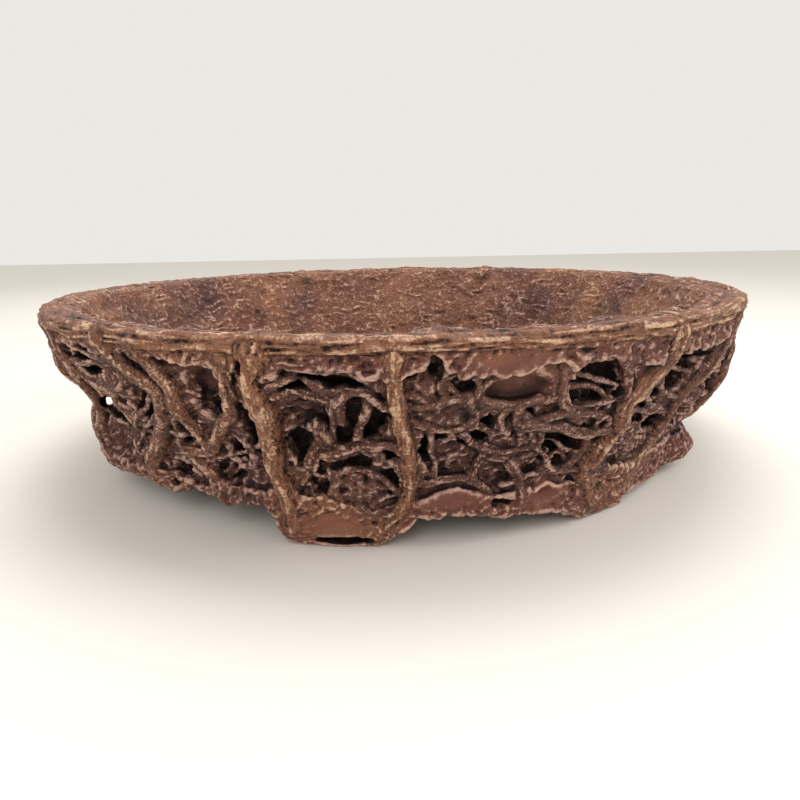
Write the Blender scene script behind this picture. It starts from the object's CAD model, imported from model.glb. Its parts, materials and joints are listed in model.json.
"""Looks of the round clay bonsai pot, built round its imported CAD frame.

The wall, lip, apron, roots, vines, band and feet are one field of clay. Each piece adds its own shape, the
shapes melt into each other where they are luted, and every CAD node gets back the part of the clay that
lies nearest to it, as a mesh of its own. Lengths are millimetres until a mesh is made. Azimuth 0 faces -Y
and grows towards +X, as in the CAD source.
"""

import json
import math

import bpy
import numpy as np
from mathutils import Matrix, Vector


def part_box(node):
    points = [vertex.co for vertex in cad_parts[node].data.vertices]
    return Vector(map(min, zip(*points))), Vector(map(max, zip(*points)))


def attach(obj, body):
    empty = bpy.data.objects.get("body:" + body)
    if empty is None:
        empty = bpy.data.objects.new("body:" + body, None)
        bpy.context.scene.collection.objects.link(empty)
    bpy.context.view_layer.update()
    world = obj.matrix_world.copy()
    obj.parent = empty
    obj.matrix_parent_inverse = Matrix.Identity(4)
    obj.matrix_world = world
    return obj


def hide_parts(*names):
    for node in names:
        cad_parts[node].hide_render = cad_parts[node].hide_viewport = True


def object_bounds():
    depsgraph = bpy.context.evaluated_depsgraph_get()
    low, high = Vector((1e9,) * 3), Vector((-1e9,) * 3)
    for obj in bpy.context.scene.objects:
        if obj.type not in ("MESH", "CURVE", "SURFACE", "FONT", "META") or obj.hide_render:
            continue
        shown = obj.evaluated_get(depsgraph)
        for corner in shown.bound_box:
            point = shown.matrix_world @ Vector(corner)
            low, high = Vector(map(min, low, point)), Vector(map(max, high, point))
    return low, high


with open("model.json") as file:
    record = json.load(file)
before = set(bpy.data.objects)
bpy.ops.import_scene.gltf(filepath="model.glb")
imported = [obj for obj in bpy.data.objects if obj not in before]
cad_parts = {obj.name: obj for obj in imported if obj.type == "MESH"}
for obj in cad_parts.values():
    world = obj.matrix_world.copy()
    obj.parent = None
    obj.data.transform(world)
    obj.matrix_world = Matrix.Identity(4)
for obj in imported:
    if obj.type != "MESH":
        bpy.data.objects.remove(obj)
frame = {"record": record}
cad_low, cad_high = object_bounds()

MM = 0.001
CELL = 0.9  # size of the field's cells
RIM_R = cad_high.x / MM
POT_H = cad_high.z / MM
FLOOR_LOW, FLOOR_HIGH = (corner.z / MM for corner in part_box("floor_slab"))
FLOOR_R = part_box("floor_slab")[1].x / MM
LIP_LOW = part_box("rim_coil")[0].z / MM
WALL_T = 10.0
LIP_W = 16.0
DRAIN_R, DRAIN_AT, DRAINS = 15.0, 80.0, 3

# Outside of the bowl's wall and outside of the cage of roots, as heights and radii
WALL_SHAPE = ((14, 24, 40, 60, 80, 95, 102), (152, 160, 168, 178, 190, 199, 204))
CAGE_SHAPE = ((0, 8, 30, 50, 72, 84, 102), (172, 178, 183, 190, 204, 208, 209))
MM_PER_DEGREE = 3.32  # round the pot, at the wall
LIP_MM_PER_DEGREE = 3.6

# Where the hand-built cage swells: azimuth, height, half width in degrees, half height, rise
SWELLS = (
    (-63, 26, 30, 30, 11), (-64, 72, 12, 10, 3), (64, 14, 11, 14, 14), (62, 60, 16, 22, 7),
    (62, 42, 15, 24, 9), (112, 34, 14, 20, 6), (152, 58, 13, 16, 4), (176, 26, 14, 18, 6),
    (-150, 60, 14, 16, 4), (-112, 40, 14, 24, 6),
)


def wall_r(z):
    return np.interp(z, *WALL_SHAPE)


def turn_from(a, b):
    """The angle from b to a, between -180 and 180."""
    return (a - b + 180) % 360 - 180


def cage_r(azimuth, z):
    radius = np.interp(z, *CAGE_SHAPE)
    for middle, height, wide, high, rise in SWELLS:
        q = (turn_from(azimuth, middle) / wide) ** 2 + ((z - height) / high) ** 2
        radius = radius + rise * np.maximum(1 - q, 0) ** 2
    return radius


# ---- The thirds of the cage: turn, and 1 or -1 where it is mirrored ----
THIRDS = ((0, 1), (120, 1), (240, -1))

# ---- Main roots of one third: radius, and (azimuth, height, inset from the cage) along the route ----
ROOTS = (
    (3.0, ((-57, 94, 5), (-57.5, 84, 4), (-58, 72, 4), (-57.5, 60, 4), (-57, 46, 4), (-55.5, 34, 4),
           (-53, 22, 5))),
    (2.8, ((-52, 94, 5), (-52, 84, 4), (-51, 74, 4), (-51, 66, 4), (-53, 59, 4), (-55.3, 52.5, 4))),
    (3.8, ((-36, 94, 5), (-33, 86, 4), (-29, 76, 4), (-30, 66, 4), (-34, 53, 4), (-38, 41, 4), (-41, 30, 4),
           (-40, 21, 6))),
    (3.2, ((-30, 94, 5), (-28, 86, 4), (-26.5, 78, 4), (-27, 66, 4), (-26.5, 56, 4), (-26.5, 46, 5),
           (-31, 44, 5), (-30, 38, 6), (-28, 28, 6), (-27, 20, 6))),
    (2.6, ((-18, 92, 5), (-18.5, 82, 4), (-19, 70, 4), (-21.5, 62, 4), (-24, 53, 4), (-26, 47, 5))),
    (4.2, ((-14.5, 94, 5), (-15.5, 82, 4), (-15, 68, 4), (-16, 52, 4), (-16.5, 38, 4), (-15.5, 24, 5),
           (-15.5, 12, 7))),
    (2.8, ((0, 94, 5), (0, 82, 4), (0.5, 66, 4), (1.2, 50, 4), (1.7, 36, 4), (1, 24, 5), (-1.5, 12, 7))),
    (4.6, ((34, 94, 6), (34, 84, 5), (31, 72, 5), (30.5, 62, 5), (32, 52, 5), (30, 40, 5), (28.5, 28, 5),
           (31, 14, 7))),
    (3.6, ((53, 94, 5), (51, 84, 4), (48, 72, 4), (46, 60, 4), (48, 46, 5), (46, 34, 5), (42, 22, 6))),
)

# How tan the roots of one third are, from 0 to 1
ROOT_TAN = (0.35, 0.3, 0.6, 0.55, 0.5, 0.9, 0.95, 0.75, 0.4)

# ---- Vines of one third, in groups of 40 degrees: radius, inset, and (azimuth, height) along each ----
VINES = (
    (
        (1.8, 6, ((-60, 86), (-56, 80), (-50, 79), (-47, 82))),
        (1.6, 6, ((-56, 50), (-52, 46), (-47, 47))),
        (1.6, 4, ((-46, 90), (-40, 87), (-36, 86.5), (-33, 88))),
        (1.8, 5, ((-46, 80), (-40, 84), (-36, 83), (-34, 79), (-30, 78))),
        (1.5, 6, ((-30, 76), (-33, 68), (-37, 60), (-42, 52), (-45, 42))),
        (2.0, 6, ((-41, 22), (-35, 22.5), (-32, 22), (-27, 22))),
        (1.5, 5, ((-34, 79), (-36, 75), (-40, 71), (-47, 70))),
        (1.3, 5, ((-29, 74), (-31.5, 65), (-35.5, 57), (-40, 49), (-44, 38))),
        (1.8, 4, ((-30, 54), (-32, 53.5), (-34.5, 51))),
        (1.7, 4, ((-28, 72), (-29.5, 60), (-31.5, 46), (-31, 44))),
        (1.2, 9, ((-24, 42), (-25, 36), (-27, 31))),
        (1.2, 9, ((-22, 42), (-23.5, 36), (-26, 30))),
        (1.3, 8, ((-29, 46), (-25, 43), (-21, 46), (-18, 52))),
        (1.6, 4, ((-38.5, 24), (-36.7, 27), (-34.9, 24), (-35, 20), (-37, 18), (-38.8, 20), (-38.5, 24))),
    ),
    (
        (1.8, 6, ((-15, 76), (-12.5, 77), (-11, 79.5), (-9, 78), (-6.5, 76))),
        (1.8, 5, ((-6.5, 76), (-5, 79), (-3.5, 79.5), (-2, 76.5), (-1.2, 73.5))),
        (2.0, 7, ((-14.5, 80), (-11.5, 84.5), (-10, 85.5), (-8.4, 82), (-7, 79), (-5.5, 80))),
        (1.5, 9, ((-7.3, 77), (-7.4, 66), (-8, 56), (-8.5, 50))),
        (1.9, 9, ((-6.5, 76), (-6.6, 65))),
        (2.2, 8, ((-3, 78), (-3.5, 70), (-4.2, 64), (-4.8, 58), (-4.6, 53))),
        (3.0, 5, ((-8.6, 49.5), (-7, 51.5), (-5, 53), (-3, 54.5), (-1, 54.5), (0.7, 53))),
        (2.2, 6, ((-2.8, 54), (-2.4, 50), (-2.3, 46))),
        (2.6, 9, ((-9.6, 63), (-9.8, 57), (-11, 50), (-12.3, 42), (-14.5, 36))),
        (1.8, 7, ((-9.8, 63), (-8.8, 57), (-8.6, 50))),
        (1.4, 8, ((-9.6, 51), (-11.2, 44), (-11.5, 39), (-10.5, 36), (-9, 37))),
        (2.0, 6, ((-9, 25), (-8.8, 33), (-8, 38), (-6, 41.5), (-3.8, 40), (-2, 36.5), (-0.6, 31),
                  (0.8, 28))),
        (1.7, 5, ((-8.8, 30), (-7.4, 23), (-5.4, 22.5), (-4, 18.5), (-2, 19.5), (0.5, 20))),
        (1.5, 7, ((-14.5, 40), (-12.8, 39.8), (-12.4, 37), (-13.5, 33))),
        (1.5, 5, ((0.5, 79), (2, 78), (3, 74.5), (1, 73))),
        (1.8, 5, ((4.9, 88), (4.6, 80), (5, 75), (2.5, 73))),
        (1.5, 5, ((8.2, 86), (8.8, 80), (8, 76.5), (6, 75), (4, 74.5), (0.5, 74))),
        (1.3, 6, ((5.6, 82), (7, 77), (8.2, 78))),
        (1.4, 6, ((9, 79), (10, 82.5), (12, 84.5))),
        (1.8, 5, ((8, 76), (8.3, 71), (9, 68.5), (8.4, 65), (7.5, 62.5), (5, 62), (3, 64), (1, 67))),
        (1.8, 6, ((9, 68.5), (10.5, 71.5), (12.5, 70), (14.5, 70.5), (16.5, 73))),
        (1.8, 7, ((3.6, 62), (4.3, 55), (4.2, 50), (5, 44), (5, 34))),
        (2.2, 6, ((8, 58), (9.5, 53), (11, 50.5), (11.6, 46), (10.6, 40), (10, 33))),
        (1.3, 7, ((8, 62), (10, 61.5), (11.4, 57), (11.4, 51))),
        (1.5, 6, ((12, 69), (12.5, 62), (13.6, 57))),
        (1.6, 5, ((13.7, 70), (14.2, 63), (15.2, 57), (16.4, 50))),
        (1.4, 5, ((15.2, 66), (16.8, 59), (17.6, 52))),
        (1.7, 5, ((11.2, 51), (13, 47.5), (15, 47), (17, 48.5), (19, 50), (18.4, 56), (17.4, 61))),
        (1.5, 6, ((12, 46), (14, 44), (17, 43), (20, 45))),
        (1.7, 5, ((2, 38), (3.5, 34), (6, 35.2), (9, 35), (11, 31), (13, 27))),
    ),
    (
        (1.5, 5, ((18.5, 88), (18.6, 78), (19.2, 71), (21, 65.5))),
        (2.0, 5, ((16.5, 63), (20, 64), (24, 62.8), (27.5, 60))),
        (3.0, 4, ((15.5, 62), (17.5, 61), (20, 58), (23, 54.5), (26, 51), (30.5, 50))),
        (1.8, 5, ((27.2, 86), (28.3, 76), (29, 68))),
        (1.4, 4, ((27.2, 60), (28.4, 58), (28.8, 53.5), (27.8, 52.5), (26.8, 56), (27.2, 60))),
        (1.9, 5, ((26.8, 50), (27.2, 43), (26.3, 37.5), (24.4, 33), (22.6, 32.5), (21.5, 36), (20.5, 42),
                  (18.7, 48))),
        (1.2, 8, ((19, 50), (22, 47.5), (24, 43), (26.2, 40))),
        (1.3, 8, ((21, 38), (23.5, 41), (25.5, 36))),
        (1.8, 5, ((15, 30), (18, 32.5), (20.5, 32.3), (23, 33), (28.5, 30))),
        (2.8, 5, ((15.8, 40), (16.4, 36), (17.3, 31), (17.8, 24))),
        (1.3, 8, ((20, 76), (23, 75), (26.5, 69))),
        (1.2, 8, ((21, 81), (24, 78), (27.5, 74))),
        (1.3, 7, ((34, 80), (38, 77), (43, 72), (47, 72))),
        (1.8, 5, ((32, 76), (34.5, 74), (36.2, 68.5), (38.5, 63.5), (42, 60), (46, 58))),
        (1.6, 5, ((31, 74), (33, 71), (34.5, 64), (37.5, 58), (42, 53))),
        (1.8, 5, ((31, 60), (36, 56), (40, 52), (44, 50), (47, 46))),
        (1.5, 7, ((31, 46), (38, 47), (41, 41), (47, 38))),
        (1.6, 5, ((30, 40), (31.8, 31), (33.5, 26), (37, 23), (42, 24))),
        (2.6, 5, ((28.5, 33), (33, 27), (36, 22), (40, 18), (43, 12))),
        (1.6, 6, ((51, 84), (55, 76), (60, 72), (64, 66))),
        (1.6, 6, ((46, 60), (52, 56), (58, 50), (64, 46))),
        (1.6, 6, ((46, 34), (52, 36), (58, 28), (64, 24))),
        (1.4, 7, ((52, 72), (54, 62), (57, 54))),
    ),
)

# ---- Thin shelves over the pockets: radius, inset of the edge, and (azimuth, height) along the edge ----
SHELVES = (
    (1.1, 5, ((-15.5, 75.5), (-12.5, 77), (-11, 79.5), (-9.5, 78.5), (-8, 77), (-6.5, 76), (-5, 79),
              (-3.8, 79.5), (-2.5, 77.5), (-1.2, 74.5))),
    (1.0, 7, ((-14.5, 80), (-11.5, 84.5), (-10, 85.5), (-8.5, 83), (-7, 79))),
    (1.0, 6, ((1, 67), (3, 64), (5, 62), (7.6, 62.5), (9, 66), (9.5, 69))),
    (1.0, 6, ((9.5, 75), (11, 73), (13, 71.5), (16, 71.5), (18.5, 73))),
    (1.0, 6, ((20, 68), (22.5, 66.5), (25, 66.5), (28, 68))),
    (1.0, 7, ((-40, 78), (-37, 76), (-34, 78), (-31, 77))),
    (1.0, 7, ((-25.5, 62), (-23, 60.5), (-21, 61))),
    (1.0, 6, ((36, 63), (39, 61.5), (43, 63), (46, 62))),
)

# ---- Lumps on the crust: azimuth, height, half width, half height, inset of the top from the cage ----
MOUNDS = (
    (-4.6, 30, 13, 10.5, 4.5), (-24, 22, 16, 5, 4.5), (-46, 30, 16, 8, 7), (-9.5, 60, 4, 6, 9),
    (16.5, 55, 8, 9, 5.5), (14.5, 63, 7, 5, 6), (6.5, 67, 9, 4, 5.5), (29, 22, 9, 11, 4),
    (38, 34, 14, 8, 5.5), (3, 80, 6, 5, 6),
)

# ---- Pockets sunk in the crust: azimuth, height, half width, half height, depth below the cage ----
POCKETS = (
    (-46, 82, 13, 6, 17), (-55, 78, 5, 9, 13), (-42, 64, 9, 7, 22), (-50, 42, 15, 14, 10),
    (-60, 50, 9, 10, 14), (-52, 66, 8, 5, 14), (-36.5, 62, 5, 5, 13), (-37.5, 50, 5, 6, 12),
    (-33.5, 70, 9, 9, 14), (-31.5, 41, 7, 11, 15), (-28.3, 60, 4, 9, 12), (-25.3, 35, 10, 7, 12),
    (-22.2, 76, 8.5, 13, 15), (-18.4, 59, 4, 15, 16), (-22, 46, 5, 7, 14), (-35, 30, 6, 5, 12),
    (-7.6, 66, 21, 20, 14), (-8.5, 82, 14, 5, 18), (-13, 51, 5, 9, 19), (-5, 66, 5, 6, 18),
    (-2.2, 69, 6, 9, 18), (-0.9, 49, 3.6, 4.5, 17), (-0.9, 35, 3.4, 7, 13), (-9.5, 47, 9, 8, 13),
    (-5, 45, 8, 5, 12), (-10.5, 33, 5, 9, 11), (3.7, 52, 3.6, 9, 17), (7.4, 47, 13, 12, 9.5),
    (9.8, 55.5, 6, 5, 17), (11, 64.5, 4, 5.5, 17), (5.5, 58, 6, 3, 13), (6.3, 80, 9, 5, 9.5),
    (13.6, 78, 15, 7, 11), (14, 66, 8, 5, 9), (15.5, 60, 4, 8, 10), (13, 35, 12, 7, 8), (19, 38, 7, 5, 9),
    (23.8, 77, 13, 10.5, 13), (25.5, 83, 7, 5, 15), (28.6, 71, 4, 9, 11), (20.5, 50, 7, 7, 13),
    (24, 47, 10, 9, 16), (23, 39, 9, 6, 11), (33.4, 68.5, 4.5, 4, 15), (40, 73, 17, 10.5, 18),
    (37, 60, 7, 4, 11), (43.5, 43, 13, 6, 15), (38, 50, 8, 4, 11), (33, 18, 6, 9, 10), (36, 30, 6, 5, 9),
    (50, 56, 9, 10, 15), (57, 68, 10, 14, 15), (53, 40, 12, 8, 12), (47, 66, 6, 6, 12),
    (-42.5, 84, 8, 6, 19), (-34.5, 82, 9, 4, 18), (-29.7, 85, 5, 6, 18), (42.5, 80, 16, 5, 19),
    (38, 70, 8, 5, 18),
)

# ---- Places where the clay was smoothed: azimuth, height, half width, half height ----
SMOOTH = (
    (13.6, 79, 17, 9), (13, 89, 17, 5), (8, 26, 22, 6), (22, 20, 12, 8), (-9, 10, 20, 9), (-22, 82, 8, 6),
    (31, 76, 6, 8),
)

# ---- Holes through it all: azimuth, height, half width, half height, depth below the cage ----
HOLLOWS = (
    (-8, 4, 14, 2.6, 12), (4.1, 87.5, 2.6, 5, 12), (-16.2, 89.5, 2.2, 3, 8), (14.6, 21, 5, 2.6, 9),
    (22, 21, 7, 5.5, 6), (-36.7, 22.3, 3.4, 3, 10), (-9.8, 86, 6, 2, 9),
)

# ---- The one gap that light shows through, past the bowl: its two ends as azimuth, height and inset ----
SEE_THROUGH = ((-39, 67.2, -4), (-89.5, 26.5, -14))

# ---- Edges round the pot, as (azimuth, height): the band's underside and top, the apron's torn edge ----
UNDERSIDE = (
    (-60, 18), (-50, 17), (-42, 16), (-38, 15.5), (-35, 19.5), (-32, 21), (-28, 20), (-25.5, 18),
    (-22, 18), (-20, 19), (-18.5, 13), (-17, 2), (-15, 0), (-3, 0), (-0.5, 6), (1.5, 11), (3, 15),
    (6, 16.5), (10, 15.5), (14, 13.5), (18, 12), (22, 10.5), (25, 9), (28, 5), (31, 0), (39, 0), (41, 6),
    (47, 5.5), (55, 5), (58, 9), (60, 18),
)
BAND_HIGH = 44  # height that the band stays under
BAND_TOP = (
    (-60, 24), (-50, 27), (-41, 26), (-38, 28), (-34, 26), (-30, 24), (-27, 28), (-23, 27), (-20, 26),
    (-17, 30), (-14, 29), (-9, 27), (-6, 22), (-3, 18), (0, 22), (2, 25), (5, 29), (8, 32), (10, 29),
    (12, 26), (14, 25), (16, 25.5), (20, 26), (22, 28), (24, 24), (28, 26), (34, 28), (40, 24), (48, 24),
    (54, 26), (60, 24),
)
APRON_LOW, APRON_TOP = 76, 99  # heights that the apron stays between
TORN_EDGE = (
    (-60, 88), (-52, 90), (-46, 91), (-42, 91), (-38, 89), (-34, 92), (-30, 90), (-27, 91), (-24, 89),
    (-20, 89), (-17, 88), (-15, 84), (-13, 86), (-10, 88.5), (-6, 88), (-4, 86), (-2, 86), (0, 84),
    (2, 87), (3.3, 92), (4.5, 92), (5.5, 86), (9, 85), (14, 85), (18, 88), (19.5, 85), (21, 88), (24, 88),
    (27, 85), (30, 83), (34, 82), (37, 85), (42, 84), (46, 84), (50, 88), (55, 86), (60, 88),
)
LOW_LUMP = (63, 8, 14)  # where the band hangs lower beside one foot: azimuth, half width and drop
FEET = ((-8.5, 17), (36, 12), (111.5, 17), (156, 12), (204, 12), (248.5, 17))  # middle azimuth and width


# ---- Noise ----
def lattice(cell, seed):
    """A random value from -1 to 1 for each whole-numbered point."""
    x, y, z = (cell[..., i].astype(np.int64).astype(np.uint32) for i in range(3))
    h = x * np.uint32(374761393) + y * np.uint32(668265263) + z * np.uint32(2246822519)
    h = h + np.uint32(seed * 7919)
    h = (h ^ (h >> np.uint32(13))) * np.uint32(1274126177)
    h = (h ^ (h >> np.uint32(15))) * np.uint32(2654435761)
    return ((h >> np.uint32(9)).astype(np.float32) / np.float32(2**22)) - 1


def eased(t):
    return t * t * (3 - 2 * t)


def noise(p, size, seed):
    """Smooth noise from -1 to 1 at the points p, its lumps size across: one number, or one an axis."""
    q = p / np.asarray(size, np.float32)
    low = np.floor(q)
    t = eased(q - low)
    total = 0
    for corner in range(8):
        step = np.array([corner & 1, corner >> 1 & 1, corner >> 2], np.float32)
        weight = np.prod(np.where(step > 0, t, 1 - t), axis=-1)
        total = total + weight * lattice(low + step, seed)
    return total


def fractal(p, size, seed, octaves):
    return sum(noise(p, np.asarray(size) / 2**i, seed + i) / 2**i for i in range(octaves))


def ridged(p, size, seed):
    """Noise of narrow crests between broad valleys, from 0 to 1."""
    return 1 - np.abs(noise(p, size, seed)) * 1.6


# ---- The field of clay: a grid of azimuths, heights, and depths from the inside to the outside ----
FIELD_R = 190  # its middle radius
FIELD_DEEP = 48
INMOST_R = 160  # the cage lies outside it
N_AZ = int(2 * math.pi * FIELD_R / CELL)
AZ = np.arange(N_AZ) * 360 / N_AZ - 180
Z = np.arange(-2.5, POT_H + 5, CELL, dtype=np.float32)
DEPTHS = np.linspace(0, 1, int(FIELD_DEEP / CELL), dtype=np.float32)
SIN, COS = np.sin(np.radians(AZ)).astype(np.float32), np.cos(np.radians(AZ)).astype(np.float32)
INNER_EDGE = np.interp(Z, (14, 32, 60, 95, 106), (141, 148, 162, 183, 186))
OUTER_EDGE = np.interp(Z, (0, 8, 30, 50, 72, 84, 102), (181, 194, 200, 205, 214, 217, 217))
R = (INNER_EDGE[:, None] + (OUTER_EDGE - INNER_EDGE)[:, None] * DEPTHS[None, :]).astype(np.float32)
FAR = 1e3


def block(columns, rows):
    """Index of the grid points in these columns and rows, at every depth."""
    return np.ix_(columns, rows, np.arange(len(DEPTHS)))


EVERY = block(np.arange(N_AZ), np.arange(len(Z)))


def ring(radius):
    """A place at each column of the grid, round the pot at this radius."""
    return np.stack([SIN * radius, -COS * radius, 0 * SIN], axis=-1)


def azimuth_of(p):
    return np.degrees(np.arctan2(p[:, 0], -p[:, 1]))


class Clay:
    """The field on a grid: its blended distance to the clay, and which node's own shape is nearest."""

    def __init__(self, shape):
        self.blend = np.full(shape, FAR, np.float32)
        self.nearest = np.full(shape, FAR, np.float32)
        self.label = np.zeros(shape, np.uint8)
        self.along = np.zeros(shape, np.float32)
        self.across = np.zeros(shape, np.float32)
        self.edge = np.zeros(shape, np.float32)

    def add(self, where, distance, label, soft, edge=0.0, grain=None):
        """Melts a shape into the clay, over soft millimetres. edge is 1 along its worn edges, and grain is
        the places along and across a strand."""
        near = self.nearest[where]
        mine = distance < near
        self.nearest[where] = np.where(mine, distance, near)
        self.label[where] = np.where(mine, label, self.label[where])
        self.blend[where] = smooth_min(self.blend[where], distance, soft)
        self.edge[where] = np.where(mine, edge, self.edge[where])
        if grain:
            self.along[where] = np.where(mine, grain[0], self.along[where])
            self.across[where] = np.where(mine, grain[1], self.across[where])

    def cut(self, where, distance, soft):
        """Cuts a shape out of the clay."""
        self.blend[where] = -smooth_min(-self.blend[where], distance, soft)


def line_at(off, wide):
    """1 on a line, falling to 0 about wide millimetres off it."""
    return np.exp(-((off / wide) ** 2))


def smooth_min(a, b, soft):
    h = np.clip(0.5 + 0.5 * (b - a) / soft, 0, 1)
    return b + (a - b) * h - soft * h * (1 - h)


def rounded(a, b, corner):
    """The larger of two distances, with the edge where they meet rounded off."""
    meet = (a > -corner) & (b > -corner)
    off = np.hypot(np.maximum(a + corner, 0), np.maximum(b + corner, 0)) - corner
    return np.where(meet, off, np.maximum(a, b))


def around(azimuths, heights, reach):
    """Index of the grid block that holds these places and everything within reach millimetres of them."""
    margin = math.degrees(reach / INMOST_R)
    first = int(math.floor((min(azimuths) - margin + 180) / 360 * N_AZ))
    last = int(math.ceil((max(azimuths) + margin + 180) / 360 * N_AZ))
    columns = np.arange(first, last + 1) % N_AZ
    low, high = np.searchsorted(Z, (min(heights) - reach, max(heights) + reach))
    return block(columns, np.arange(low, max(high, low + 1)))


def places(where):
    """x, y, z of the grid points in a block."""
    columns, rows, depths = (indices.ravel() for indices in where)
    radius = R[np.ix_(rows, depths)][None]
    x = radius * SIN[columns][:, None, None]
    y = -radius * COS[columns][:, None, None]
    z = np.broadcast_to(Z[rows][None, :, None], x.shape)
    return x, y, z


def on_cage(azimuth, height, inset):
    radius = cage_r(azimuth, height) - inset
    a = np.radians(azimuth)
    return np.stack([radius * np.sin(a), -radius * np.cos(a), height], axis=-1)


def smooth_route(points, steps):
    """A curve through every point, as rows of the same numbers."""
    p = np.asarray(points, float)
    p = np.vstack([2 * p[0] - p[1], p, 2 * p[-1] - p[-2]])
    t = np.linspace(0, 1, steps, endpoint=False)[:, None]
    spans = [
        0.5 * (2 * b + (c - a) * t + (2 * a - 5 * b + 4 * c - d) * t**2 + (3 * b - a - 3 * c + d) * t**3)
        for a, b, c, d in zip(p[:-3], p[1:-2], p[2:-1], p[3:], strict=True)
    ]
    return np.vstack([*spans, p[-2]])


def strand_distance(route, thick, where, web):
    """Distance to a chain of tapering rods along route, stretched web times towards the wall, and how far
    along and across the chain each place is."""
    x, y, z = places(where)
    radius = np.hypot(x, y)
    ux, uy = x / radius, y / radius
    best = np.full(x.shape, FAR, np.float32)
    along, across = np.zeros_like(best), np.zeros_like(best)
    gone = 0.0
    for a, b, ra, rb in zip(route[:-1], route[1:], thick[:-1], thick[1:], strict=True):
        ab = b - a
        length = float(np.linalg.norm(ab)) + 1e-6
        tx, ty, tz = ab / length
        px, py, pz = x - a[0], y - a[1], z - a[2]
        h = np.clip((px * tx + py * ty + pz * tz) / length, 0, 1)
        dx, dy, dz = px - h * ab[0], py - h * ab[1], pz - h * ab[2]
        out = dx * ux + dy * uy
        spare = np.where(out < 0, out * out * (1 - 1 / web**2), 0)
        distance = np.sqrt(dx * dx + dy * dy + dz * dz - spare) - (ra + (rb - ra) * h)
        nearer = distance < best
        best = np.where(nearer, distance, best)
        along = np.where(nearer, gone + h * length, along)
        across = np.where(nearer, tz * (dy * ux - dx * uy) + dz * (tx * uy - ty * ux), across)
        gone += length
    return best, along, across


def strand(clay, label, points, radius, flare, seed, soft, web, foot_flare=0.4):
    """One root, vine or shelf, through points as (azimuth, height, inset). It swells by flare at its start,
    by foot_flare times as much at its end, and unevenly between."""
    route = smooth_route(points, 4)
    steps = np.arange(len(route))
    wander = np.column_stack([steps * 3.0, np.full(len(steps), seed * 5.7), np.zeros(len(steps))])
    route[:, 0] += 0.3 * noise(wander, 9, 11)
    route[:, 1] += 0.8 * noise(wander, 9, 12)
    xyz = on_cage(route[:, 0], route[:, 1], route[:, 2])
    along = np.concatenate([[0], np.cumsum(np.linalg.norm(np.diff(xyz, axis=0), axis=1))])
    ends = np.exp(-along / 5) + foot_flare * np.exp(-(along[-1] - along) / 6)
    thick = radius * (1 + 0.16 * noise(wander, 12, 13) + flare * ends)
    where = around(route[:, 0], route[:, 1], float(thick.max()) + soft + 2)
    distance, along, across = strand_distance(xyz, thick, where, web)
    back = line_at(across, 0.3 + 0.24 * radius)
    clay.add(where, distance, label, soft, back, (along + seed * 37, across))


def mound(clay, azimuth, height, wide, high, inset, label):
    """A lump pressed onto the wall, whose top lies inset below the cage."""
    where = around((azimuth,), (height,), max(wide, high) + 6)
    x, y, z = places(where)
    radius = np.hypot(x, y)
    a = math.radians(azimuth)
    middle = float(wall_r(height)) - 2
    across = x * math.cos(a) + y * math.sin(a)
    rise = float(cage_r(azimuth, height)) - inset - middle
    q = np.sqrt((across / wide) ** 2 + ((z - height) / high) ** 2 + ((radius - middle) / rise) ** 2)
    lump = np.maximum((q - 1) * min(wide, high, rise), wall_r(height) - WALL_T / 2 - radius)
    clay.add(where, lump, label, 3.0)


def hollow(clay, azimuth, height, wide, high, depth):
    """A hole pressed into the clay from outside."""
    where = around((azimuth,), (height,), max(wide, high) + 4)
    x, y, z = places(where)
    a = math.radians(azimuth)
    across = x * math.cos(a) + y * math.sin(a)
    below = float(cage_r(azimuth, height)) + 2 - np.hypot(x, y)
    q = np.sqrt((across / wide) ** 2 + ((z - height) / high) ** 2 + np.maximum(below / (depth + 2), 0) ** 2)
    clay.cut(where, (q - 1) * min(wide, high, depth), 1.5)


def ring_edge(edge):
    """An edge of one third, carried round the whole pot, at each column of the grid."""
    places_round = [(turn_from(turn + way * a, 0), h) for turn, way in THIRDS for a, h in edge[:-1]]
    angle, height = np.array(sorted(places_round)).T
    return np.interp(AZ, angle, height, period=360)


def turned(azimuth, third):
    turn, way = THIRDS[third]
    return turn + way * azimuth


def tunnel(clay, ends, radius):
    """A straight way through the cage, between two places given as azimuth, height and inset."""
    azimuth, height, inset = np.array(ends, float).T
    where = around(azimuth, height, 12)
    distance, _, _ = strand_distance(on_cage(azimuth, height, inset), (radius, radius), where, 1.0)
    clay.cut(where, distance, 1.0)


def patch(azimuth, height, wide, high, spots):
    """How far each column and row of the grid is from a patch's middle: 0 in the middle, 1 at its edge."""
    across = turn_from(AZ, azimuth)[:, None] * MM_PER_DEGREE + spots[0]
    up = Z[None, :] - height + spots[1]
    return np.hypot(across / wide, up / high)


def label_of(nodes, name):
    return nodes.index(name) + 1


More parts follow.
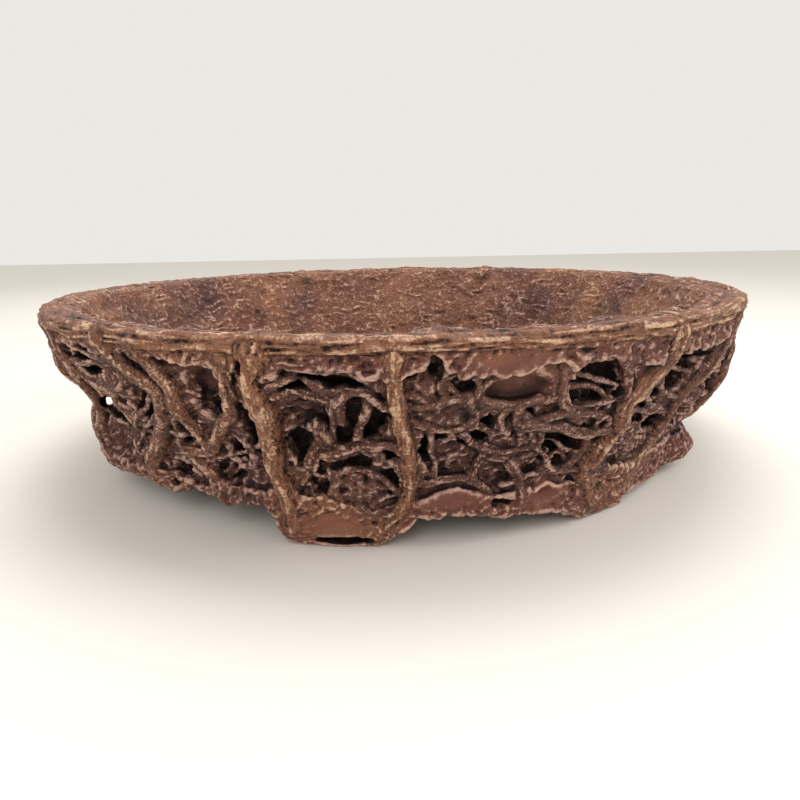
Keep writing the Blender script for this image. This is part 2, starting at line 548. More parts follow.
# ---- Making the clay ----
def wall_and_rim(clay, nodes):
    radius, z = R[None], Z[None, :, None]
    spot = ring(FIELD_R)
    # the wall, a little uneven
    outside = wall_r(Z)[None, :, None]
    swell = np.zeros((N_AZ, len(Z), 1), np.float32)
    for k, height in enumerate(Z):
        swell[:, k, 0] = 2.2 * noise(spot + (0, 0, height), (16, 16, 11), 21)
    slope = 0.87
    wall = np.maximum((radius - outside - swell) * slope, (outside - WALL_T - radius) * slope)
    wall = np.maximum(wall, FLOOR_LOW - z)
    clay.add(EVERY, np.maximum(wall, z - POT_H + 3), label_of(nodes, "bowl_wall"), 0.1)
    # the lip, a flat coil that wavers
    out_by = (1.0 * noise(spot, 60, 22) + 0.7 * noise(spot, 18, 23))[:, None, None]
    up_by = (0.7 * noise(spot, 45, 24) + 0.4 * noise(spot, 14, 25))[:, None, None]
    half_w, half_t = LIP_W / 2, (POT_H - LIP_LOW) / 2
    side = np.abs(radius - (RIM_R - half_w - 1 + out_by)) - half_w
    face = np.abs(z - (POT_H - half_t - 0.8 + up_by)) - half_t
    lip = rounded(side, face, 2.6)
    layers = np.zeros((N_AZ, len(Z), 1), np.float32)
    for k, below in enumerate((0.6, 2.6, 4.6, 6.4)):
        wave = (0.7 * noise(spot, 30, 35 + k) + 0.35 * noise(spot, 9, 45 + k))[:, None, None]
        strength = np.clip(0.65 + 0.8 * noise(spot, 14, 55 + k), 0, 1)[:, None, None]
        layers = np.maximum(layers, line_at(z - (POT_H - below + wave), 0.7) * strength)
    outer = np.clip((radius - RIM_R + 7) / 3, 0, 1)
    clay.add(EVERY, lip + 0.5 - layers * outer, label_of(nodes, "rim_coil"), 2.5, layers * outer)


def apron(clay, nodes):
    """The torn skirt under the lip, with slack folds."""
    edge = ring_edge(TORN_EDGE)
    spot = ring(200)
    edge = edge + 1.2 * noise(spot, 5, 31) + 0.8 * noise(spot, 2.5, 32)
    rows = np.arange(np.searchsorted(Z, APRON_LOW), len(Z))
    z = Z[rows][None, :, None]
    folds = (1.6 * noise(spot, 12, 33) + 0.8 * noise(spot, 5, 34))[:, None, None]
    hang = np.clip((97 - z) / 12, 0, 1)
    cage_skin = cage_r(AZ[:, None, None], z)
    middle = cage_skin - 3.4 + folds * hang - 1.5 * (1 - hang)
    thick = 2.0 + 0.8 * (1 - hang)
    sheet = np.abs(R[rows][None] - middle) - thick
    low = (edge[:, None, None] - z) * 0.8
    distance = np.maximum(rounded(sheet, low, 1.5), z - APRON_TOP)
    hem = np.broadcast_to(line_at(z - edge[:, None, None] - 0.6, 1.0), distance.shape)
    for i in range(6):
        columns = np.flatnonzero(((AZ - (60 * i - 30)) % 360) < 60)
        label = label_of(nodes, f"apron_{i + 1}")
        clay.add(block(columns, rows), distance[columns], label, 3.0, hem[columns])


def band_and_feet(clay, nodes):
    under, top = ring_edge(UNDERSIDE), ring_edge(BAND_TOP)
    spot = ring(180)
    middle, wide, drop = LOW_LUMP
    under = under - drop * np.clip(1.5 - np.abs(turn_from(AZ, middle)) / wide, 0, 1)
    under = np.where(under > 2, under + 0.9 * noise(spot, 9, 41), under)
    top = top + 1.2 * noise(spot, 9, 42)
    rows = np.arange(0, np.searchsorted(Z, BAND_HIGH))
    z = Z[rows][None, :, None]
    heel = np.interp(Z[rows], (0, 6, 14, 24), (150, 148, 150, 158))[None, :, None]
    reach = np.interp(Z[rows], (0, 5, 14), (1.5, 0, -2.2))[None, :, None]
    skin = cage_r(AZ[:, None, None], z) + reach + (1.3 * noise(spot, 14, 43))[:, None, None]
    side = np.maximum(R[rows][None] - skin, heel - R[rows][None])
    under, top = under[:, None, None], top[:, None, None]
    level = np.maximum(under - z, z - top) * 0.8
    distance = rounded(side, level, 2.5)
    hem = np.maximum(line_at(z - under - 1.2, 1.1), line_at(top - z - 1.0, 1.0))
    hem = np.broadcast_to(hem, distance.shape)
    foot_at = np.zeros(N_AZ, int)
    for i, (middle, spread) in enumerate(FEET):
        foot_at[np.abs(turn_from(AZ, middle)) < spread / 2 + 1] = i + 1
    band_at = np.zeros(N_AZ, int)
    for i, (middle, _) in enumerate(FEET):
        gap = (FEET[(i + 1) % len(FEET)][0] - middle) % 360
        band_at[((AZ - middle) % 360) < gap] = i + 1
    for i in range(6):
        for kind, mine in (("foot", foot_at == i + 1), ("band", (foot_at == 0) & (band_at == i + 1))):
            columns = np.flatnonzero(mine)
            label = label_of(nodes, f"{kind}_{i + 1}")
            clay.add(block(columns, rows), distance[columns], label, 2.5, hem[columns])


def crust(clay, nodes):
    """Clay built up on the wall between the roots, sunk in pockets."""
    grid = np.stack(np.broadcast_arrays(SIN[:, None] * 195, -COS[:, None] * 195, Z[None, :]), axis=-1)
    spots = [1.8 * noise(grid, 8, seed) + 0.9 * noise(grid, 3.5, seed + 1) for seed in (26, 28)]
    inset = 6.0 + 1.2 * noise(grid, 14, 30)
    brim = np.zeros_like(inset)
    for third in range(3):
        for azimuth, height, wide, high, depth in POCKETS:
            q = patch(turned(azimuth, third), height, wide, high, spots)
            t = eased(np.clip((1.12 - q) / 0.42, 0, 1))
            inset = np.maximum(inset, inset * (1 - t) + depth * t)
            brim = np.maximum(np.where(q < 0.85, 0, brim), line_at((q - 1.08) * min(wide, high), 1.1))
    skin = np.maximum(wall_r(Z)[None, :] - 1, cage_r(AZ[:, None], Z[None, :]) - inset)[:, :, None]
    under = ring_edge(UNDERSIDE)[:, None, None] + 4
    z = Z[None, :, None]
    built = np.maximum((R[None] - skin) * 0.75, wall_r(Z)[None, :, None] - WALL_T / 2 - R[None])
    built = np.maximum(built, np.maximum((under - z) * 0.8, z - 95))
    brim = np.broadcast_to(brim[:, :, None], built.shape)
    clay.add(EVERY, built, label_of(nodes, "bowl_wall"), 1.5, brim)


def cage(clay, nodes):
    wall_label = label_of(nodes, "bowl_wall")
    for third in range(3):
        for azimuth, height, wide, high, inset in MOUNDS:
            mound(clay, turned(azimuth, third), height, wide, high, inset, wall_label)
    for third in range(3):
        for k, (radius, route) in enumerate(ROOTS):
            number = third * len(ROOTS) + k + 1
            label = label_of(nodes, f"root_{number:02d}")
            points = [(turned(a, third), h, inset) for a, h, inset in route]
            foot_flare = 0.9 if route[-1][1] < 16 else 0.3
            strand(clay, label, points, radius, 0.9, number, 2.6, 1.8, foot_flare)
        for g, group in enumerate(VINES):
            label = label_of(nodes, f"vines_{third * len(VINES) + g + 1}")
            for k, (radius, inset, route) in enumerate(group):
                points = [(turned(a, third), h, inset) for a, h in route]
                strand(clay, label, points, radius * 0.82, 0.6, 100 * third + 10 * g + k, 2.0, 2.0)
        for k, (radius, inset, route) in enumerate(SHELVES):
            group = int((route[len(route) // 2][0] + 60) // 40)
            label = label_of(nodes, f"vines_{third * len(VINES) + group + 1}")
            points = [(turned(a, third), h, inset) for a, h in route]
            strand(clay, label, points, radius, 0.3, 500 + k, 2.0, 7.0)
        for azimuth, height, wide, high, depth in HOLLOWS:
            hollow(clay, turned(azimuth, third), height, wide, high, depth)
    tunnel(clay, SEE_THROUGH, 3.4)


def stand_flat(clay):
    """Nothing reaches below the table."""
    rows = np.arange(0, np.searchsorted(Z, 6))
    above_table = np.broadcast_to(Z[rows][None, :, None], (N_AZ, len(rows), len(DEPTHS)))
    clay.cut(block(np.arange(N_AZ), rows), above_table, 0.3)


# ---- From field to meshes ----
CORNERS = [(i, j, k) for i in (0, 1) for j in (0, 1) for k in (0, 1)]


def mixed_cells(solid, sizes):
    """The cells whose corners have more than one label, and each cell's number among them, or -1."""

    def shifted(di, dj, dk):
        a = np.roll(solid, -di, axis=0) if di else solid
        return a[: sizes[0], dj : dj + sizes[1], dk : dk + sizes[2]]

    first = shifted(0, 0, 0)
    mixed = np.zeros(first.shape, bool)
    for corner in CORNERS[1:]:
        mixed |= shifted(*corner) != first
    cells = np.argwhere(mixed)
    number = np.full(mixed.shape, -1, np.int64)
    number[mixed] = np.arange(len(cells))
    return cells, number


def cell_points(blend, solid, cells, wraps):
    """A point in each cell, as grid indices: in the middle of the places where the surface crosses the
    cell's edges, or of the edges that a seam crosses."""
    total, seam_total = np.zeros((len(cells), 3)), np.zeros((len(cells), 3))
    count, seam_count = np.zeros(len(cells)), np.zeros(len(cells))
    for corner in CORNERS:
        for axis in range(3):
            if corner[axis]:
                continue
            opposite = tuple(v + (n == axis) for n, v in enumerate(corner))
            start, end = cells + corner, cells + opposite
            raw_start, raw_end = start.astype(float), end.astype(float)
            if wraps:
                start[:, 0] %= solid.shape[0]
                end[:, 0] %= solid.shape[0]
            s, e = tuple(start.T), tuple(end.T)
            outer = (solid[s] == 0) != (solid[e] == 0)
            t = np.where(outer, blend[s] / np.where(outer, blend[s] - blend[e], 1), 0.5)
            at = raw_start + (raw_end - raw_start) * np.clip(t, 0.02, 0.98)[:, None]
            total[outer] += at[outer]
            count[outer] += 1
            seam = (solid[s] != solid[e]) & ~outer
            seam_total[seam] += at[seam]
            seam_count[seam] += 1
    on_skin = total / np.maximum(count, 1)[:, None]
    on_seam = seam_total / np.maximum(seam_count, 1)[:, None]
    return np.where((count > 0)[:, None], on_skin, on_seam)


def edge_quads(solid, number, sizes, wraps):
    """A quad round each grid edge that joins two labels, and the labels in front of and behind each quad."""
    quads, front, back = [], [], []
    for axis in range(3):
        u, v = (axis + 1) % 3, (axis + 2) % 3
        step = [0, 0, 0]
        step[axis] = 1
        if axis == 0 and wraps:
            near, far = solid, np.roll(solid, -1, axis=0)
        else:
            near = solid[tuple(slice(0, n - s) for n, s in zip(solid.shape, step, strict=True))]
            far = solid[tuple(slice(s, None) for s in step)]
        edges = np.argwhere(near != far)
        ids = tuple(edges.T)
        around_edge = []
        for du, dv in ((0, 0), (-1, 0), (-1, -1), (0, -1)):
            cell = edges.copy()
            cell[:, u] += du
            cell[:, v] += dv
            if wraps:
                cell[:, 0] %= solid.shape[0]
            inside = ((cell >= 0) & (cell < sizes)).all(axis=1)
            cell[~inside] = 0
            around_edge.append(np.where(inside, number[tuple(cell.T)], -1))
        quad = np.stack(around_edge, axis=1)
        good = (quad >= 0).all(axis=1)
        quads.append(quad[good])
        front.append(far[ids][good])
        back.append(near[ids][good])
    return np.vstack(quads), np.concatenate(front), np.concatenate(back)


def surface(blend, label, xyz_of, wraps):
    """One surface over the whole field, with its seams: the points, the quads, and the labels in front of
    and behind each quad. xyz_of gives the places of grid indices."""
    solid = np.where(blend < 0, label, 0)
    sizes = [solid.shape[0] if wraps else solid.shape[0] - 1, solid.shape[1] - 1, solid.shape[2] - 1]
    cells, number = mixed_cells(solid, sizes)
    points = xyz_of(cell_points(blend, solid, cells, wraps))
    return points, *edge_quads(solid, number, sizes, wraps)


def vertex_normals(points, quads):
    p = points[quads]
    cross = np.cross(p[:, 2] - p[:, 0], p[:, 3] - p[:, 1])
    normals = np.zeros_like(points)
    for i in range(4):
        for n in range(3):
            normals[:, n] += np.bincount(quads[:, i], cross[:, n], len(points))
    return normals / np.maximum(np.linalg.norm(normals, axis=1), 1e-9)[:, None]


def averaged(values, quads, rounds):
    """Each point's value mixed with its neighbours', rounds times."""
    ends_a = np.concatenate([quads[:, i] for i in range(4)])
    ends_b = np.concatenate([quads[:, (i + 1) % 4] for i in range(4)])
    size = len(values)
    count = np.maximum(np.bincount(ends_a, minlength=size) + np.bincount(ends_b, minlength=size), 1)
    out = values.astype(np.float64).reshape(size, -1)
    for _ in range(rounds):
        sums = [np.bincount(ends_a, c[ends_b], size) + np.bincount(ends_b, c[ends_a], size) for c in out.T]
        out = 0.5 * out + 0.5 * (np.stack(sums, axis=1) / count[:, None])
    return out.reshape(values.shape)


def sampled(field, where):
    """The field between its grid points, at fractional indices."""
    low = np.floor(where).astype(int)
    t = where - low
    total = 0
    for corner in CORNERS:
        ids = low + corner
        ids[:, 0] %= field.shape[0]
        for n in (1, 2):
            ids[:, n] = np.clip(ids[:, n], 0, field.shape[n] - 1)
        weight = np.prod(np.where(np.array(corner) > 0, t, 1 - t), axis=1)
        total = total + weight * field[tuple(ids.T)]
    return total


def xyz_of_index(where):
    """Places of fractional grid indices."""
    azimuth = np.radians(where[:, 0] * 360 / N_AZ - 180)
    z = Z[0] + where[:, 1] * CELL
    rows = np.arange(len(Z))
    low, high = np.interp(where[:, 1], rows, INNER_EDGE), np.interp(where[:, 1], rows, OUTER_EDGE)
    radius = low + (high - low) * where[:, 2] / (len(DEPTHS) - 1)
    return np.stack([radius * np.sin(azimuth), -radius * np.cos(azimuth), z], axis=1)


def index_of_xyz(p):
    i = (azimuth_of(p) + 180) / 360 * N_AZ
    j = np.clip((p[:, 2] - Z[0]) / CELL, 0, len(Z) - 1)
    rows = np.arange(len(Z))
    low, high = np.interp(j, rows, INNER_EDGE), np.interp(j, rows, OUTER_EDGE)
    k = (np.hypot(p[:, 0], p[:, 1]) - low) / (high - low) * (len(DEPTHS) - 1)
    return np.stack([i, j, k], axis=1)


def relief(points, along, across, inside, rooty, lippy, smooth):
    """How far the worked surface stands proud at each point: wrinkles, sinews, torn layers and lumps."""
    warp = np.stack([noise(points, 11, s) for s in (51, 52, 53)], axis=1) * 4
    bent = points + warp
    wrinkles = ridged(bent, (6, 6, 4), 54) + 0.6 * ridged(bent, (3.2, 3.2, 2.3), 55)
    wall = 1.25 * (wrinkles - 0.8) + 0.6 * noise(points, 2.0, 56)
    sinew = np.stack([along, across, along * 0], axis=1)
    strands = 0.75 * (ridged(sinew, (11, 1.9, 1), 57) - 0.4) + 0.35 * noise(sinew, (6, 1.1, 1), 58)
    strands = strands + 0.15 * noise(points, 2.6, 64)
    round_pot = azimuth_of(points) * 3.5
    unrolled = np.stack([round_pot, np.hypot(points[:, 0], points[:, 1]), points[:, 2]], axis=1)
    layers = 1.2 * (ridged(unrolled + warp * 0.3, (42, 2.6, 1.9), 59) - 0.4)
    layers = layers + 0.35 * noise(points, (3, 3, 1.6), 60)
    bowl = 1.4 * fractal(bent, 17, 61, 4) + 0.9 * (ridged(bent, (11, 11, 5), 65) - 0.5)
    bowl = bowl + 0.2 * noise(points, 2.2, 66)
    outside = wall * (1 - rooty) + strands * rooty
    outside = outside * (1 - lippy) + layers * lippy
    return (outside * (1 - inside) + bowl * inside) * (1 - 0.8 * smooth)


def build_clay():
    nodes = [n["node"] for n in frame["record"]["subparts"] if n["node"] != "floor_slab"]
    clay = Clay((N_AZ, len(Z), len(DEPTHS)))
    wall_and_rim(clay, nodes)
    apron(clay, nodes)
    band_and_feet(clay, nodes)
    crust(clay, nodes)
    cage(clay, nodes)
    stand_flat(clay)
    # the grid's own faces stay outside the clay
    for edge in (np.s_[:, :1], np.s_[:, -1:], np.s_[:, :, :1], np.s_[:, :, -1:]):
        clay.blend[edge] = np.maximum(clay.blend[edge], 0.5)
    return clay, nodes


def add_mesh(name, points, quads, normals, shades):
    mesh = bpy.data.meshes.new(name)
    mesh.vertices.add(len(points))
    mesh.vertices.foreach_set("co", (points * MM).astype(np.float32).ravel())
    mesh.loops.add(quads.size)
    mesh.loops.foreach_set("vertex_index", quads.astype(np.int32).ravel())
    mesh.polygons.add(len(quads))
    mesh.polygons.foreach_set("loop_start", np.arange(0, quads.size, 4, dtype=np.int32))
    mesh.polygons.foreach_set("use_smooth", np.ones(len(quads), bool))
    mesh.update(calc_edges=True)
    for key, values in shades.items():
        mesh.attributes.new(key, "FLOAT", "POINT").data.foreach_set("value", values.astype(np.float32))
    mesh.normals_split_custom_set_from_vertices(normals.astype(np.float32))
    piece = bpy.data.objects.new(name, mesh)
    bpy.context.scene.collection.objects.link(piece)
    return piece


# How tan and how red each kind of piece is
TINTS = {
    "bowl": (0.05, 0.15),
    "rim": (1.0, 0.0),
    "apron": (0.15, 0.6),
    "vines": (0.15, 0.15),
    "band": (0.2, 0.85),
    "foot": (0.6, 0.55),
}


def tint(node):
    kind = node.split("_")[0]
    if kind == "root":
        return ROOT_TAN[(int(node[-2:]) - 1) % len(ROOTS)], 0.05
    return TINTS[kind]


def flecks(points):
    """Clusters of pale flecks inside the bowl."""
    crests = np.clip(ridged(points, (12, 12, 5), 75) - 0.72, 0, 1)
    return 0.15 + 3 * crests * np.clip(noise(points, 18, 76) + 0.25, 0, 1)


def inside_tints(points):
    """How tan and how red the bowl is inside, in patches."""
    return 0.45 + 0.5 * noise(points, 26, 73), np.clip(noise(points, 30, 74) - 0.1, 0, 1)


def smoothed(points, azimuth):
    """1 where the clay was smoothed, falling to 0 round about."""
    smooth = np.zeros(len(points))
    for third in range(3):
        for middle, height, wide, high in SMOOTH:
            across = turn_from(azimuth, turned(middle, third)) * MM_PER_DEGREE / wide
            near = 1.6 - 1.2 * np.hypot(across, (points[:, 2] - height) / high)
            smooth = np.maximum(smooth, np.clip(near, 0, 1))
    return smooth


def proud_of(mean, points, normals):
    """How far each point stands out from the mean place round it."""
    return ((points - mean) * normals).sum(axis=1)


def openness(clay, points, normals):
    """How much free air lies outside each point, from about -0.5 to 1."""
    open_air = 0
    for reach in (3, 6, 10, 15):
        free = sampled(clay.blend, index_of_xyz(points + normals * reach))
        open_air = open_air + np.clip(free / reach, -0.5, 1) / 4
    return open_air


def cut_up(nodes, points, quads, front, back, normals, shades):
    """A mesh for each node, of the quads that bound its clay."""
    pieces = {}
    for number, node in enumerate(nodes, start=1):
        ahead, behind = front == number, back == number
        mine = np.vstack([quads[behind], quads[ahead][:, ::-1]])
        used, local = np.unique(mine.ravel(), return_inverse=True)
        own_shades = {key: values[used] for key, values in shades.items()}
        pieces[node] = add_mesh(f"{node}_clay", points[used], local.reshape(-1, 4), normals[used], own_shades)
    return pieces


def sculpt():
    """Makes a mesh for every node but the floor, with the shades that its material reads."""
    clay, nodes = build_clay()
    points, quads, front, back = surface(clay.blend, clay.label, xyz_of_index, True)
    skin = (front == 0) | (back == 0)
    outward = np.where((front == 0)[:, None], quads, quads[:, ::-1])[skin]
    normals = vertex_normals(points, outward)
    owner = np.zeros(len(points), int)
    owner[outward.ravel()] = np.repeat(np.maximum(front, back)[skin], 4)
    radius = np.hypot(points[:, 0], points[:, 1])
    inside = averaged((radius < wall_r(points[:, 2]) - WALL_T / 2).astype(float), outward, 4)
    names = np.array(["none", *nodes])
    kinds = np.array([n.split("_")[0] for n in names])[owner]
    on_lip = kinds == "rim"
    rooty = averaged(np.isin(kinds, ("root", "vines")).astype(float), outward, 2)
    lippy = averaged(on_lip.astype(float), outward, 3)
    azimuth = azimuth_of(points)
    smooth = smoothed(points, azimuth) * (1 - inside)
    i, j, k = np.rint(index_of_xyz(points)).astype(int).T
    nearest = i % N_AZ, np.clip(j, 0, len(Z) - 1), np.clip(k, 0, len(DEPTHS) - 1)
    along, across = clay.along[nearest], clay.across[nearest]
    along = np.where(on_lip, azimuth * LIP_MM_PER_DEGREE, along)
    across = np.where(on_lip, points[:, 2] + 0.5 * radius, across)
    edge = sampled(clay.edge, index_of_xyz(points)) * (0.75 + 0.5 * noise(points, 6, 72))
    edge = edge * (1 - inside) + flecks(points) * inside
    shows = np.zeros(len(points), bool)
    shows[outward.ravel()] = True
    push = relief(points, along, across, inside, rooty, lippy, smooth) + 0.35 * edge
    push = np.where(shows, push, 0) * np.clip(points[:, 2] / 3, 0, 1)
    points = points + normals * push[:, None]
    points[:, 2] = np.maximum(points[:, 2], 0)
    normals = vertex_normals(points, outward)
    depth = cage_r(azimuth, points[:, 2]) - np.hypot(points[:, 0], points[:, 1])
    tints = np.array([(0.0, 0.0), *(tint(node) for node in nodes)])[owner]
    tints[on_lip, 0] = 1.0 - 0.6 * np.clip(normals[on_lip, 2] * 1.4 - 0.3, 0, 1)
    tan, red = averaged(tints, outward, 7).T
    near_lip = np.clip((points[:, 2] - 90) / 8 + 0.9 * noise(points, 9, 71), 0, 1)
    tan = np.maximum(tan, near_lip * 0.8) * (1 - inside)
    tan_inside, red_inside = inside_tints(points)
    near_mean = averaged(points, outward, 3)
    far_mean = averaged(near_mean, outward, 10)
    shades = {
        "open_air": averaged(openness(clay, points, normals), outward, 1),
        "crest": proud_of(near_mean, points, normals),
        "ridge": proud_of(far_mean, points, normals),
        "sunk": np.clip((depth - 6) / 11, 0, 1) ** 2 * (1 - inside),
        "tan": tan + tan_inside * inside,
        "red": red * (1 - inside) + red_inside * inside,
        "smooth": smooth,
        "edge": edge,
        "along": along,
        "across": across,
        "fibrous": np.maximum(rooty, lippy) * (1 - inside),
    }
    return cut_up(nodes, points, quads, front, back, normals, shades)


def floor_slab():
    """The floor disc, on a square grid of its own."""
    reach = FLOOR_R + 1.5
    side = np.arange(-reach - 2, reach + 2, CELL, dtype=np.float32)
    up = np.arange(FLOOR_LOW - 3, FLOOR_HIGH + 3, CELL, dtype=np.float32)
    x, y, z = side[:, None, None], side[None, :, None], up[None, None, :]
    face = np.abs(z - (FLOOR_LOW + FLOOR_HIGH) / 2) - (FLOOR_HIGH - FLOOR_LOW) / 2
    field = rounded(np.hypot(x, y) - reach, face, 1.5)
    turns = [2 * math.pi * i / DRAINS for i in range(DRAINS)]
    drains = [(DRAIN_AT * math.sin(turn), -DRAIN_AT * math.cos(turn)) for turn in turns]
    for hole_x, hole_y in drains:
        hole = np.hypot(x - hole_x, y - hole_y) - DRAIN_R
        field = -smooth_min(-field, np.broadcast_to(hole, field.shape), 2.0)

    def to_xyz(where):
        return where * CELL + (side[0], side[0], up[0])

    points, quads, front, _ = surface(field, np.ones(field.shape, np.uint8), to_xyz, False)
    quads = np.where((front == 0)[:, None], quads, quads[:, ::-1])
    normals = vertex_normals(points, quads)
    ones, none = np.ones(len(points)), np.zeros(len(points))
    push = relief(points, none, none, ones, none, none, none)
    from_hole = np.min([np.hypot(points[:, 0] - hx, points[:, 1] - hy) for hx, hy in drains], axis=0)
    push *= np.clip((from_hole - DRAIN_R - 0.5) / 4, 0, 1)
    points = points + normals * push[:, None]
    normals = vertex_normals(points, quads)
    crest = proud_of(averaged(points, quads, 4), points, normals)
    tan, red = inside_tints(points)
    shades = dict.fromkeys(("sunk", "smooth", "along", "across", "fibrous"), none)
    shades |= {"open_air": ones * 0.85, "crest": crest, "ridge": crest, "edge": flecks(points)}
    shades |= {"tan": tan, "red": red}
    return add_mesh("floor_slab_clay", points, quads, normals, shades)


# ---- Materials ----
def srgb(r, g, b):
    """A colour given as screen values from 0 to 255."""
    return tuple(((c / 255 + 0.055) / 1.055) ** 2.4 if c > 10 else c / 255 / 12.92 for c in (r, g, b))


DARK, MAUVE, TAN, RED = srgb(30, 11, 9), srgb(90, 56, 49), srgb(144, 95, 69), srgb(114, 60, 48)
PALE_MAUVE, PALE_TAN = srgb(190, 152, 138), srgb(218, 178, 144)
BUMP_DEPTH = 0.0008  # metres


def clay_material(name, rough):
    """Fired clay: near black where sunk or creased, brown, tan or red on open faces, pale on crests."""
    mat = bpy.data.materials.new(name)
    mat.use_nodes = True
    tree = mat.node_tree
    shader = tree.nodes["Principled BSDF"]
    shader.inputs["Specular IOR Level"].default_value = 0.35

    def attribute(key):
        node = tree.nodes.new("ShaderNodeAttribute")
        node.attribute_name = key
        return node.outputs["Fac"]

    def feed(socket, value):
        """Links a socket to another node's output, or sets it to a number or a colour."""
        if isinstance(value, bpy.types.NodeSocket):
            tree.links.new(value, socket)
        else:
            socket.default_value = (*value, 1) if isinstance(value, tuple) else value

    def maths(operation, a, b=0.0):
        node = tree.nodes.new("ShaderNodeMath")
        node.operation = operation
        feed(node.inputs[0], a)
        feed(node.inputs[1], b)
        return node.outputs[0]

    def weighed(*terms):
        """The sum of values, each times its weight."""
        total = 0.0
        for value, weight in terms:
            total = maths("ADD", total, maths("MULTIPLY", value, weight))
        return total

    def clamped(value):
        return maths("MINIMUM", maths("MAXIMUM", value, 0.0), 1.0)

    def scaled(value, middle, gain):
        return maths("MULTIPLY", maths("SUBTRACT", value, middle), gain)

    def mix(factor, a, b):
        node = tree.nodes.new("ShaderNodeMix")
        node.data_type = "RGBA"
        feed(node.inputs[0], factor)
        feed(node.inputs[6], a)
        feed(node.inputs[7], b)
        return node.outputs[2]

    where = tree.nodes.new("ShaderNodeTexCoord").outputs["Object"]

    def clouds(scale, detail, fine, where=where):
        node = tree.nodes.new("ShaderNodeTexNoise")
        feed(node.inputs["Scale"], scale)
        feed(node.inputs["Detail"], detail)
        feed(node.inputs["Roughness"], fine)
        feed(node.inputs["Vector"], where)
        return node.outputs["Fac"]

    def lines(scale, gain, where=where):
        """Thin wandering lines, 1 along each and 0 between."""
        off = maths("ABSOLUTE", scaled(clouds(scale, 3, 0.55, where), 0.5, gain))
        return clamped(maths("SUBTRACT", 1.0, off))

    def strands(long, wide, aside):
        """Places on a strand, drawn out along it."""
        node = tree.nodes.new("ShaderNodeCombineXYZ")
        feed(node.inputs[0], scaled(attribute("along"), 0, 1 / long))
        feed(node.inputs[1], scaled(attribute("across"), 0, 1 / wide))
        feed(node.inputs[2], aside)
        return node.outputs[0]

    # the clay's grain, folds and creases, and the fibres of the strands
    grain, patches, drift = clouds(850, 3, 0.75), clouds(130, 5, 0.65), clouds(24, 3, 0.5)
    wrinkled = maths("SUBTRACT", 1.0, attribute("smooth"))
    folds, creases = maths("MULTIPLY", lines(170, 9), wrinkled), maths("MULTIPLY", lines(230, 11), wrinkled)
    fibrous = attribute("fibrous")
    fibres = maths("MULTIPLY", lines(1.0, 7, strands(16, 3.2, 0.0)), fibrous)
    clefts = maths("MULTIPLY", lines(1.0, 8, strands(22, 3.6, 40.0)), fibrous)
    # the body's colour, how worn each place is, and how closed in
    tan = clamped(maths("ADD", attribute("tan"), scaled(drift, 0.5, 1.2)))
    red = clamped(maths("ADD", attribute("red"), scaled(patches, 0.55, 1.5)))
    body = mix(maths("MULTIPLY", red, 0.75), mix(tan, MAUVE, TAN), RED)
    pale = mix(tan, PALE_MAUVE, PALE_TAN)
    worn = weighed(
        (attribute("crest"), 2.4), (attribute("ridge"), 0.5), (attribute("edge"), 0.65),
        (scaled(grain, 0.5, 1), 1.8), (folds, 0.45), (creases, -0.6), (fibres, 0.5), (clefts, -1.1),
    )
    closed_in = scaled(attribute("open_air"), 0.62, -1.9)
    closed = clamped(weighed((closed_in, 1), (attribute("sunk"), 1.1), (scaled(patches, 0.5, 1), 0.5)))
    colour = mix(clamped(scaled(patches, 0.5, 2.0)), body, mix(0.35, body, pale))
    colour = mix(clamped(scaled(worn, 0.25, 1.1)), colour, pale)
    colour = mix(closed, colour, DARK)
    colour = mix(clamped(scaled(worn, -0.25, -0.9)), colour, DARK)
    bump = tree.nodes.new("ShaderNodeBump")
    feed(bump.inputs["Strength"], 0.9)
    feed(bump.inputs["Distance"], BUMP_DEPTH)
    feed(bump.inputs["Height"], weighed((grain, 1.2), (folds, 1), (creases, -1), (fibres, 1), (clefts, -1)))
    feed(shader.inputs["Base Color"], colour)
    feed(shader.inputs["Roughness"], maths("ADD", maths("MULTIPLY", patches, 0.3), rough))
    feed(shader.inputs["Normal"], bump.outputs["Normal"])
    return mat


ROUGHNESS = {
    "bowl_clay": 0.55,
    "rim_clay": 0.42,
    "apron_clay": 0.45,
    "root_clay": 0.42,
    "vine_clay": 0.48,
    "foot_clay": 0.45,
}
MATERIALS = {slot: clay_material(slot, rough) for slot, rough in ROUGHNESS.items()}

slots = {s["node"]: s["material_slot"] for s in frame["record"]["subparts"]}
pieces = sculpt()
pieces["floor_slab"] = floor_slab()
for node, piece in pieces.items():
    piece.data.materials.append(MATERIALS[slots[node]])
    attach(piece, "root")
    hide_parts(node)


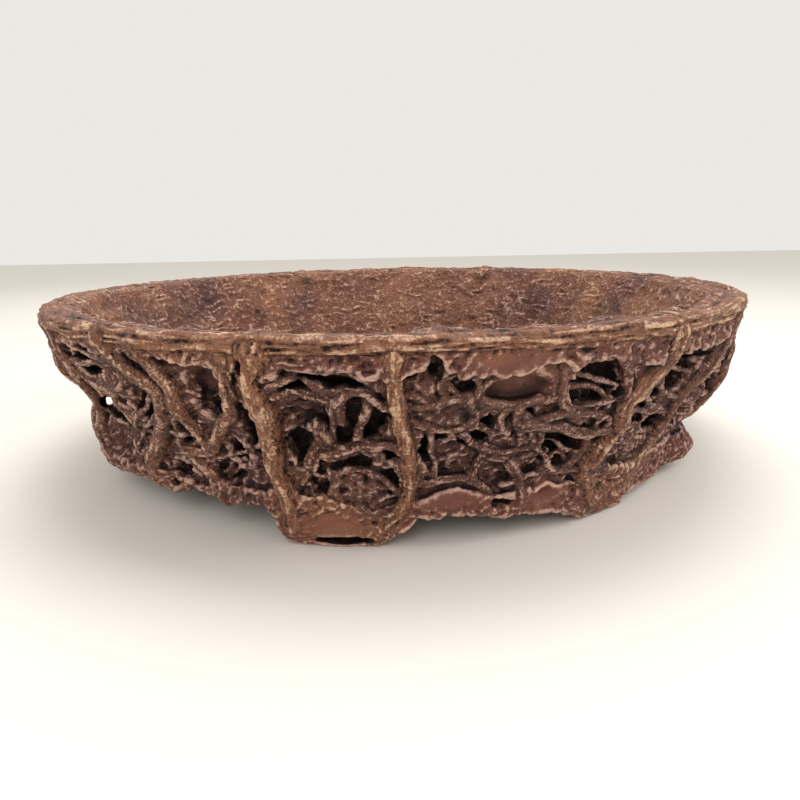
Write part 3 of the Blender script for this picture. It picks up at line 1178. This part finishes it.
# ---- Floor, light and camera ----
LAMPS = (  # name, place, size and power
    ("overhead", (0.05, 0.1, 1.2), 0.7, 8),
    ("front", (-0.2, -1.15, 0.8), 0.5, 4.5),
    ("right", (1.1, -0.3, 0.8), 0.5, 5),
    ("back", (-0.4, 1.1, 0.9), 0.6, 2.5),
)


def studio():
    bpy.ops.mesh.primitive_plane_add(size=6, location=(0, 0, 0))
    ground = bpy.context.object
    ground.name = "floor"
    mat = bpy.data.materials.new("pale_floor")
    mat.use_nodes = True
    shader = mat.node_tree.nodes["Principled BSDF"]
    shader.inputs["Base Color"].default_value = (0.78, 0.74, 0.68, 1)
    shader.inputs["Roughness"].default_value = 0.9
    ground.data.materials.append(mat)
    world = bpy.data.worlds.new("studio")
    world.use_nodes = True
    sky = world.node_tree.nodes["Background"]
    sky.inputs["Color"].default_value = (0.92, 0.90, 0.86, 1)
    sky.inputs["Strength"].default_value = 0.9
    bpy.context.scene.world = world
    for name, place, size, power in LAMPS:
        lamp = bpy.data.lights.new(name, "AREA")
        lamp.size = size
        lamp.energy = power
        lamp_object = bpy.data.objects.new(name, lamp)
        lamp_object.location = place
        lamp_object.rotation_euler = (-Vector(place)).to_track_quat("-Z", "Y").to_euler()
        bpy.context.scene.collection.objects.link(lamp_object)


CAMERA_PLACE = (0, -0.421, 0.1365)
CAMERA_PITCH, CAMERA_ROLL, CAMERA_YAW = math.radians(15.3), math.radians(-1.1), math.radians(-0.37)


def camera():
    """Looks from close by and just above the rim, with a wide lens."""
    data = bpy.data.cameras.new("camera")
    data.lens = 27.7
    data.sensor_width = 36
    view = bpy.data.objects.new("camera", data)
    tilt = Matrix.Rotation(math.pi / 2 - CAMERA_PITCH, 4, "X") @ Matrix.Rotation(CAMERA_ROLL, 4, "Z")
    view.matrix_world = Matrix.Translation(CAMERA_PLACE) @ Matrix.Rotation(CAMERA_YAW, 4, "Z") @ tilt
    bpy.context.scene.collection.objects.link(view)
    bpy.context.scene.camera = view


studio()
camera()
bpy.context.scene.view_settings.view_transform = "Standard"
